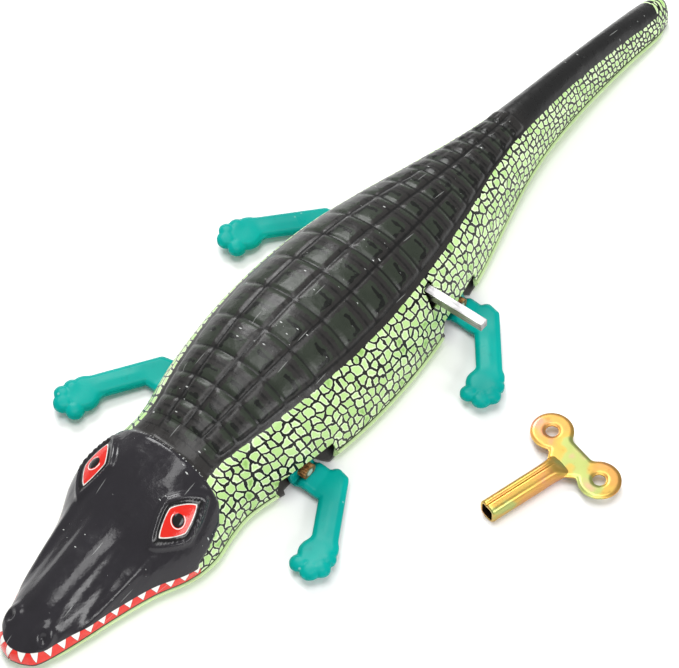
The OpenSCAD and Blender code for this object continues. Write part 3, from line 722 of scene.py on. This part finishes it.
def build_belly():
    rows = row_places(belly_gap)
    n = 121
    t = math.pi * (0.5 - 0.5 * np.cos(np.linspace(0, math.pi, n)))
    at = np.zeros((len(rows), n, 3))
    for i, row in enumerate(rows):
        cut = notch(row[0])
        full = max(row[1] - SHELL_T - RIM_GAP, 0.25)
        hub = hub_y["front" if row[0] > (FRONT_X + REAR_X) / 2 else "rear"]
        beside = LEG_SWING - min(abs(row[0] - FRONT_X), abs(row[0] - REAR_X))
        wide = full + (min(full, hub - HUB_GAP) - full) * smooth(beside, -0.3, 0.3)
        top = row[3] + RIM_LAP + (row[4] + NOTCH_LIP - row[3] - RIM_LAP) * cut
        deep = top - row[4]
        at[i, :, 0] = row[0] * PAN_LENGTH
        at[i, :, 1] = wide * np.sign(np.cos(t)) * abs(np.cos(t)) ** BELLY_ROUND
        at[i, :, 2] = top - np.minimum(deep, 1.04 * deep * np.sin(t).clip(0) ** BELLY_ROUND)
        # the rim turns out under the shell's edge
        up = (at[i, :, 2] - row[4]) / max(row[3] - row[4], 0.3)
        flare = smooth(up, 0.1, 0.55) * (1 - smooth(up, 0.86, 0.97))
        flare *= RIM_OUT * (1 - cut) * smooth(HALF_LENGTH - abs(row[0]), 1, 8)
        at[i, :, 1] += np.sign(np.cos(t)) * flare
    # shallow pressed rib round the flat of the belly
    inset = np.abs(at[..., 1]) / np.maximum(rows[:, 1], 1)[:, None]
    rib = np.exp(-((inset - RIB_AT) / RIB_BROAD) ** 2) * smooth(100 - abs(at[..., 0]), 0, 12)
    at[..., 2] += RIB_RISE * rib * (at[..., 2] < rows[:, 4][:, None] + 0.05)
    normal = grid_normals(at)
    normal *= -np.sign(normal[len(rows) // 2, n // 2, 2])
    faces = grid_faces(len(rows), n)
    inner = at - SHELL_T * normal
    points, closed, kind, _ = two_skins(at.reshape(-1, 3), inner.reshape(-1, 3), faces)
    bare = (kind == 1) | (notch(points[closed].mean(1)[:, 0]) > 0.5)
    belly = mesh_piece("belly_pan", points, closed, [PALE_GREEN, BARE], None, bare.astype(int))
    sharpen(belly, 50)
    return belly


belly = build_belly()
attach(belly, "frame")
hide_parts("belly_plate")

# ---------------------------------------------------------------- sheet pressings from outlines


def circle(p, centre, radius):
    """Signed distance to a circle, negative inside."""
    return np.linalg.norm(p - np.array(centre), axis=-1) - radius


def polygon(p, corners):
    """Signed distance to a polygon, negative inside."""
    corners = np.array(corners, float)
    best = np.full(p.shape[:-1], 1e9)
    inside = np.zeros(p.shape[:-1], bool)
    for a, b in zip(corners, np.roll(corners, -1, 0)):
        d = b - a
        f = np.clip(((p - a) @ d) / (d @ d), 0, 1)
        best = np.minimum(best, np.linalg.norm(p - a - f[..., None] * d, axis=-1))
        crosses = (a[1] > p[..., 1]) != (b[1] > p[..., 1])
        with np.errstate(divide="ignore", invalid="ignore"):
            at = (b[0] - a[0]) * (p[..., 1] - a[1]) / (b[1] - a[1]) + a[0]
        inside ^= crosses & (p[..., 0] < at)
    return np.where(inside, -best, best)


def blend_min(a, b, k):
    """Union of two outlines with a fillet of about k."""
    h = np.clip(0.5 + 0.5 * (b - a) / k, 0, 1)
    return b + (a - b) * h - k * h * (1 - h)


def sheet(outline, low, high, pitch):
    """Flat grid trimmed to an outline: (points[n, 2], faces, distance inside)."""
    xs = np.arange(low[0], high[0] + pitch, pitch)
    ys = np.arange(low[1], high[1] + pitch, pitch)
    p = np.stack(np.meshgrid(xs, ys, indexing="ij"), -1)
    d = outline(p)
    ok = d < pitch * 0.45
    keep = ok[1:, 1:] & ok[:-1, 1:] & ok[1:, :-1] & ok[:-1, :-1]
    faces = grid_faces(len(xs), len(ys), keep)
    flat = p.reshape(-1, 2)
    rim = np.array(sorted({a for a, b in border_edges(faces)}))
    # settle the rim onto the outline
    e = 1e-3
    for _ in range(4):
        here = outline(flat[rim])
        slope = np.stack([outline(flat[rim] + [e, 0]) - here, outline(flat[rim] + [0, e]) - here], -1) / e
        flat[rim] -= here[:, None] * slope / (slope**2).sum(-1, keepdims=True).clip(0.05)
    used = np.unique(faces)
    index = np.full(len(flat), -1)
    index[used] = np.arange(len(used))
    flat = flat[used]
    return flat, index[faces], -outline(flat)


# ---------------------------------------------------------------- legs

LEG_T, LEG_Z = 0.8, 1.9
SHANK_W, SHANK_LEN = 5.9, 18
ELBOW_X, ELBOW_OUT = -5.8, 9.2
LEG_RISE = math.radians(5)
HUB_R, BEND_R = 3.4, 1.0
TOES = [(6, -7.7, 2.1), (7.9, -5, 2.3), (7.3, -2.6, 2), (4.7, -1.7, 2), (2.4, -1.8, 2.2)]
PALM = (3.2, -4.4, 4)
WEB_ROUND, RISE_FROM, TAB_GAP = 1.5, 1.5, 0.3


def build_leg(name, node, body, axle_x, splay, side):
    low, high = box_mm(node)
    tab_y = min(abs(low[1]), abs(high[1])) + TAB_GAP
    turn = math.radians(splay)
    along = np.array([math.cos(turn), math.sin(turn)])
    across = np.array([-math.sin(turn), math.cos(turn)])
    elbow = np.array([ELBOW_X, ELBOW_OUT - TAB_GAP])
    tip = elbow + SHANK_LEN * along
    inner = elbow - SHANK_W * across
    # the upright tab's hub, unrolled into the plane of the sheet
    hub_v = BEND_R - math.pi / 2 * BEND_R - (AXLE_Z - LEG_Z - BEND_R)
    lower, upper = inner + WEB_ROUND * across, elbow - WEB_ROUND * across
    shank = (SHANK_LEN + 1) * along
    web = [(-2.3, hub_v), (2.1, hub_v), (1.5, 4.8), lower + 6 * along, lower + shank, upper + shank,
           upper + 1.5 * along, elbow + (1.5, -2.6), (-3.1, 5.4)]

    def outline(p):
        d = polygon(p, web) - WEB_ROUND
        d = blend_min(d, circle(p, (0, hub_v), HUB_R), 0.8)
        foot = circle(p, tip + PALM[0] * along + PALM[1] * across, PALM[2])
        for a, c, r in TOES:
            foot = blend_min(foot, circle(p, tip + a * along + c * across, r), 0.3)
        return blend_min(d, foot, 1.1)

    flat, faces, depth = sheet(outline, (-12, -7), (28, 28), 0.3)
    u = (flat - elbow) @ along
    w = (flat - (elbow + inner) / 2) @ across
    # rounded edge, channel along the shank, crowned palm and knuckles
    z = np.full(len(flat), LEG_Z)
    z += LEG_T / 2 - 0.55 * np.exp(-(depth / 0.55) ** 2)
    channel = smooth(u, 5, 9) * smooth(SHANK_LEN + 1.0 - u, 0, 4)
    z += channel * 0.14 * np.exp(-((w / 1.3) ** 2))
    pad = flat - (tip + (PALM[0] + 0.8) * along + PALM[1] * across)
    z += 0.2 * np.exp(-((pad**2).sum(-1) / 3.6**2) ** 2)
    for a, c, r in TOES[:4]:
        knuckle = flat - (tip + a * along + c * across)
        z += 0.2 * np.exp(-(knuckle**2).sum(-1) / (0.7 * r) ** 2)
    # the crease where the web lifts towards the hub
    v = flat[:, 1]
    lift = 5.6 + 0.12 * flat[:, 0]
    z += 0.9 * smooth(lift - v, 0, 3.2) * smooth(v, 0.2, 2)
    z += math.tan(LEG_RISE) * (v - RISE_FROM).clip(0)
    top = np.stack([flat[:, 0], v, z], -1)
    bottom = top - (0, 0, LEG_T)

    def bend(p):
        """Folds the hub tab upright about the axle side of the sheet."""
        q = p.copy()
        over = (BEND_R - p[:, 1]).clip(0)
        angle = np.minimum(over / BEND_R, math.pi / 2)
        off = p[:, 2] - LEG_Z
        rest = over - angle * BEND_R
        radius = BEND_R - off
        bent = p[:, 1] < BEND_R
        q[bent, 1] = (BEND_R - radius * np.sin(angle))[bent]
        q[bent, 2] = (LEG_Z + BEND_R - radius * np.cos(angle) + rest)[bent]
        return q

    top, bottom = bend(top), bend(bottom)
    for part in (top, bottom):
        part[:, 0] += axle_x
        part[:, 1] = (part[:, 1] + tab_y) * side
    if side < 0:
        faces = faces[:, ::-1]
    points, closed, _, _ = two_skins(top, bottom, faces)
    leg = mesh_piece(name, points, closed, [TEAL])
    sharpen(leg, 60)
    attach(leg, body)
    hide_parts(node)


for end, axle_x, splay in (("front", FRONT_X, 31), ("rear", REAR_X, 39)):
    for hand, side in (("left", 1), ("right", -1)):
        build_leg(f"{end}_{hand}_pressed_leg", f"{end}_{hand}_leg", f"{end}_axle_body", axle_x, splay, side)

# ---------------------------------------------------------------- winding key

KEY_R, KEY_T, KEY_PITCH, BOW_R, KEY_HOLE_R = 2.5, 1.0, 16.4, 4.9, 1.5
STEM_NEAR, STEM_FAR, SOCKET, SOCKET_DEEP, MOUTH = 3, 24.8, 2.25, 14, 3.4
STEM_POWER, SOCKET_POWER = 2.7, 5
SEAM_AT = math.radians(100)


def key_outline(p):
    d = polygon(p, [(-1.9, -6), (-1.9, 6), (2.2, 6), (6.4, 2.2), (6.4, -2.2), (2.2, -6)])
    for s in (-1, 1):
        d = blend_min(d, circle(p, (0, s * KEY_PITCH / 2), BOW_R), 1.0)
    for s in (-1, 1):
        d = np.maximum(d, -circle(p, (0, s * KEY_PITCH / 2), KEY_HOLE_R))
    return d


def key_frame(points):
    """The key's own points, lying on the floor where it is."""
    c, n = math.cos(KEY_TURN), math.sin(KEY_TURN)
    x = points[:, 0] * c - points[:, 1] * n + KEY_X
    y = points[:, 0] * n + points[:, 1] * c + KEY_Y
    return np.stack([x, y, points[:, 2] + KEY_R], -1)


def build_key():
    flat, faces, depth = sheet(key_outline, (-6, -14), (8, 14), 0.2)
    edge = 0.3 * np.exp(-((depth / 0.42) ** 2))
    top = np.column_stack([flat, KEY_T / 2 - edge])
    bottom = np.column_stack([flat, edge - KEY_T / 2])
    bow_points, bow_faces, _, _ = two_skins(top, bottom, faces)
    # rolled stem: rings from the flared neck to the open end, then back down the square socket
    a = np.linspace(0, 2 * math.pi, 97)[:-1]
    off = np.angle(np.exp(1j * (a - SEAM_AT)))
    dent = 0.42 * np.exp(-(off / 0.09) ** 2) - 0.06 * np.exp(-((abs(off) - 0.3) / 0.15) ** 2)
    rings = []

    def ring(x, half_y, half_z, power, groove=1.0, shift=0.0):
        """One ring round the stem; groove is how deep the seam's dent is in it."""
        c, n = np.cos(a), np.sin(a)
        r = 1 / (abs(c) ** power + abs(n) ** power) ** (1 / power)
        r = r * (1 - dent * groove / KEY_R)
        rings.append(np.column_stack([np.full(len(a), x), r * c * half_y, r * n * half_z + shift]))

    ring(STEM_NEAR + 0.6, 0.6, 0.3, 2, 0)
    ring(STEM_NEAR + 1.0, 3.3, 0.62, 2.4, 0)
    ring(STEM_NEAR + 1.7, 3.2, 0.9, 2.4, 0.1)
    ring(STEM_NEAR + 2.5, 2.9, 1.5, 2.4, 0.5)
    ring(STEM_NEAR + 3.4, 2.62, 2.15, STEM_POWER, 0.9)
    ring(STEM_NEAR + 4.4, 2.45, 2.42, STEM_POWER)
    for x in np.linspace(STEM_NEAR + 6, STEM_FAR - 0.5, 18):
        ring(x, 2.42, 2.42, STEM_POWER)
    ring(STEM_FAR - 0.15, 2.38, 2.38, STEM_POWER)
    ring(STEM_FAR, 2.24, 2.24, STEM_POWER)
    socket_ring = len(rings)
    ring(STEM_FAR, MOUTH / 2, MOUTH / 2, SOCKET_POWER, 0.4)
    ring(STEM_FAR - 0.3, MOUTH / 2 - 0.08, MOUTH / 2 - 0.08, SOCKET_POWER, 0.3)
    ring(STEM_FAR - 2.2, SOCKET / 2, SOCKET / 2, SOCKET_POWER, 0)
    ring(STEM_FAR - SOCKET_DEEP, SOCKET / 2, SOCKET / 2, SOCKET_POWER, 0)
    ring(STEM_FAR - SOCKET_DEEP - 0.1, 0.1, 0.1, SOCKET_POWER, 0)
    stem = np.concatenate(rings)
    n = len(a)
    stem_faces = []
    for i in range(len(rings) - 1):
        for j in range(n):
            k = (j + 1) % n
            stem_faces.append((i * n + j, i * n + k, (i + 1) * n + k, (i + 1) * n + j))
    stem_faces.append(tuple(range(n - 1, -1, -1)))
    stem_faces.append(tuple((len(rings) - 1) * n + j for j in range(n)))
    first = len(bow_points)
    points = np.concatenate([bow_points, stem])
    faces = [tuple(f) for f in bow_faces] + [tuple(i + first for i in f) for f in stem_faces]
    # the socket's wall and floor are painted dark as shade; the closed end in the neck is not
    dark = np.arange(len(faces)) >= len(bow_faces) + socket_ring * n
    dark[len(bow_faces) + (len(rings) - 1) * n] = False
    key = mesh_piece("rolled_key", key_frame(points), faces, [ZINC, SOCKET_SHADE], None, dark.astype(int))
    sharpen(key, 40)
    return key


key = build_key()
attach(key, "key_body")
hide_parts("winding_key")

# ---------------------------------------------------------------- CAD nodes that stay

FINISH = {"brass": BRASS, "plate_steel": PLATE, "square_steel": NICKEL, "axle_steel": KNURLED,
          "spring_steel": SPRING, "leg_teal": TEAL, "shell_print": PRINTED, "belly_green": PALE_GREEN,
          "key_zinc": ZINC}
slot_of = {p["node"]: p["material_slot"] for p in frame["record"]["subparts"]}
for node, piece in frame["nodes"].items():
    piece.data.materials.clear()
    piece.data.materials.append(FINISH[slot_of[node]])
    if not piece.hide_render:
        soften = piece.modifiers.new("edge", "BEVEL")
        soften.width = 0.12 * MM
        soften.segments = 2
        soften.limit_method = "ANGLE"
        soften.angle_limit = math.radians(40)

# ---------------------------------------------------------------- stage, light and camera

FLOOR, FLOOR_DROP = 3.0, 0.02
floor_mesh = bpy.data.meshes.new("floor")
floor_corners = [(x * FLOOR, y * FLOOR, 0) for x, y in ((-1, -1), (1, -1), (1, 1), (-1, 1))]
floor_mesh.from_pydata(floor_corners, [], [(0, 1, 2, 3)])
floor = bpy.data.objects.new("floor", floor_mesh)
floor.data.materials.append(paper())
floor.location.z = -FLOOR_DROP * MM
bpy.context.scene.collection.objects.link(floor)


def softbox(name, place, size, power):
    """Soft area light that points at the frame's origin, in metres."""
    light = bpy.data.lights.new(name, "AREA")
    light.shape = "RECTANGLE"
    light.size, light.size_y = size
    light.energy = power
    lamp = bpy.data.objects.new(name, light)
    lamp.location = place
    lamp.rotation_euler = (Vector((0, 0, 0)) - Vector(place)).to_track_quat("-Z", "Y").to_euler()
    bpy.context.scene.collection.objects.link(lamp)


softbox("key_softbox", (-0.35, -0.55, 0.75), (0.4, 0.4), 6)
softbox("side_softbox", (0.1, 0.9, 0.55), (0.6, 0.3), 4.5)
softbox("top_softbox", (0.0, 0.0, 1.3), (0.7, 0.7), 8)

world = bpy.data.worlds.new("studio")
world.use_nodes = True
background = world.node_tree.nodes["Background"]
background.inputs["Color"].default_value = (1, 1, 1, 1)
background.inputs["Strength"].default_value = 0.5
bpy.context.scene.world = world
bpy.context.scene.view_settings.view_transform = "Standard"

AZIMUTH, ELEVATION, ROLL = (math.radians(v) for v in (130.257, 52.627, -1.737))
AIM, DISTANCE = Vector((13.631, 3.3, 8.0)) * MM, 593.956 * MM
LENS, SENSOR = 139.17, 36
level = math.cos(ELEVATION)
back = Vector((math.sin(AZIMUTH) * level, -math.cos(AZIMUTH) * level, math.sin(ELEVATION)))
right = (-back).cross(Vector((0, 0, 1))).normalized()
up = right.cross(-back)
image_right = math.cos(ROLL) * right + math.sin(ROLL) * up
image_up = math.cos(ROLL) * up - math.sin(ROLL) * right
camera_data = bpy.data.cameras.new("camera")
camera_data.sensor_fit = "HORIZONTAL"
camera_data.sensor_width = SENSOR
camera_data.lens = LENS
camera_data.clip_start, camera_data.clip_end = 0.01, 20
camera = bpy.data.objects.new("camera", camera_data)
facing = Matrix((image_right, image_up, back)).transposed().to_4x4()
camera.matrix_world = Matrix.Translation(AIM + back * DISTANCE) @ facing
bpy.context.scene.collection.objects.link(camera)
bpy.context.scene.camera = camera
